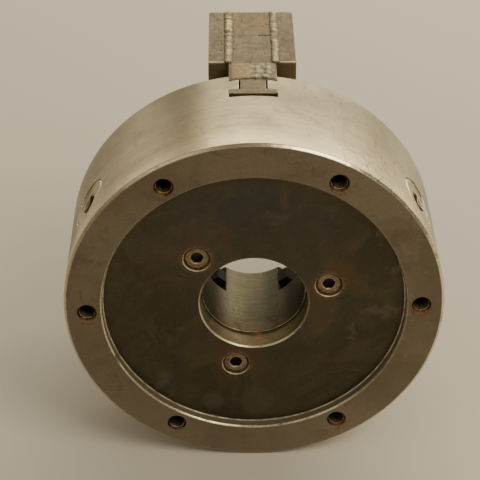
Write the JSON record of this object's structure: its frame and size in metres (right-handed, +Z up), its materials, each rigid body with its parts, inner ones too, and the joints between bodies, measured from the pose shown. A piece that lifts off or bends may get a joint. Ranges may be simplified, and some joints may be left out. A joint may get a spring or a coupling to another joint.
{
  "type": "three-jaw scroll chuck",
  "caption": "Three-jaw self-centring lathe chuck with a recessed bolted back, key pinions in the rim, a spiral scroll and jaws built up with welded steel blocks.",
  "frame": {"origin": "centre of the rear mounting face", "axes": "+Y along the chuck axis from the rear face to the jaws; +Z up, through jaw 1, with the chuck standing on its rim; +X to the right seen from the rear"},
  "size_m": [0.2, 0.1513, 0.2009],
  "materials": {
    "body_steel": "worn ground steel, oily patches",
    "cover_steel": "dark oily steel",
    "screw_steel": "worn steel with rusty rims",
    "inner_steel": "machined, greased",
    "pinion_steel": "hardened, oily",
    "jaw_steel": "ground, worn",
    "block_steel": "dull mill steel",
    "weld_metal": "rough weld beads"
  },
  "bodies": {
    "housing": {"chuck_body": "body_steel", "back_cover": "cover_steel", "cover_screws": "screw_steel", "pinion_retaining_pins": "inner_steel"},
    "scroll": {"scroll_plate": "inner_steel"},
    "key_pinion_1": {"pinion_1": "pinion_steel"},
    "key_pinion_2": {"pinion_2": "pinion_steel"},
    "key_pinion_3": {"pinion_3": "pinion_steel"},
    "jaw_assembly_1": {"jaw_1": "jaw_steel", "jaw_1_extension": "block_steel", "jaw_1_side_blocks": "block_steel", "jaw_1_welds": "weld_metal"},
    "jaw_assembly_2": {"jaw_2": "jaw_steel", "jaw_2_extension": "block_steel", "jaw_2_side_blocks": "block_steel", "jaw_2_welds": "weld_metal"},
    "jaw_assembly_3": {"jaw_3": "jaw_steel", "jaw_3_extension": "block_steel", "jaw_3_side_blocks": "block_steel", "jaw_3_welds": "weld_metal"}
  },
  "joints": [
    {"name": "scroll_turn", "type": "hinge", "parent": "housing", "child": "scroll", "pos_m": [0, 0.042, 0], "axis": [0, 1, 0], "range_deg": [-360, 1080]},
    {"name": "pinion_turn_1", "type": "hinge", "parent": "housing", "child": "key_pinion_1", "pos_m": [0, 0.0265, 0], "axis": [0.866, 0, 0.5], "range_deg": [-6480, 2160]},
    {"name": "pinion_turn_2", "type": "hinge", "parent": "housing", "child": "key_pinion_2", "pos_m": [0, 0.0265, 0], "axis": [-0.866, 0, 0.5], "range_deg": [-6480, 2160]},
    {"name": "pinion_turn_3", "type": "hinge", "parent": "housing", "child": "key_pinion_3", "pos_m": [0, 0.0265, 0], "axis": [0, 0, -1], "range_deg": [-6480, 2160]},
    {"name": "jaw_slide_1", "type": "slide", "parent": "housing", "child": "jaw_assembly_1", "axis": [0, 0, 1], "range_m": [-0.024, 0.008]},
    {"name": "jaw_slide_2", "type": "slide", "parent": "housing", "child": "jaw_assembly_2", "axis": [-0.866, 0, -0.5], "range_m": [-0.024, 0.008]},
    {"name": "jaw_slide_3", "type": "slide", "parent": "housing", "child": "jaw_assembly_3", "axis": [0.866, 0, -0.5], "range_m": [-0.024, 0.008]}
  ],
  "couplings": [
    {"joint": "pinion_turn_1", "follows": "scroll_turn", "ratio": -6},
    {"joint": "pinion_turn_2", "follows": "scroll_turn", "ratio": -6},
    {"joint": "pinion_turn_3", "follows": "scroll_turn", "ratio": -6},
    {"joint": "jaw_slide_1", "follows": "scroll_turn", "m_per_rad": -0.0012732},
    {"joint": "jaw_slide_2", "follows": "scroll_turn", "m_per_rad": -0.0012732},
    {"joint": "jaw_slide_3", "follows": "scroll_turn", "m_per_rad": -0.0012732}
  ]
}
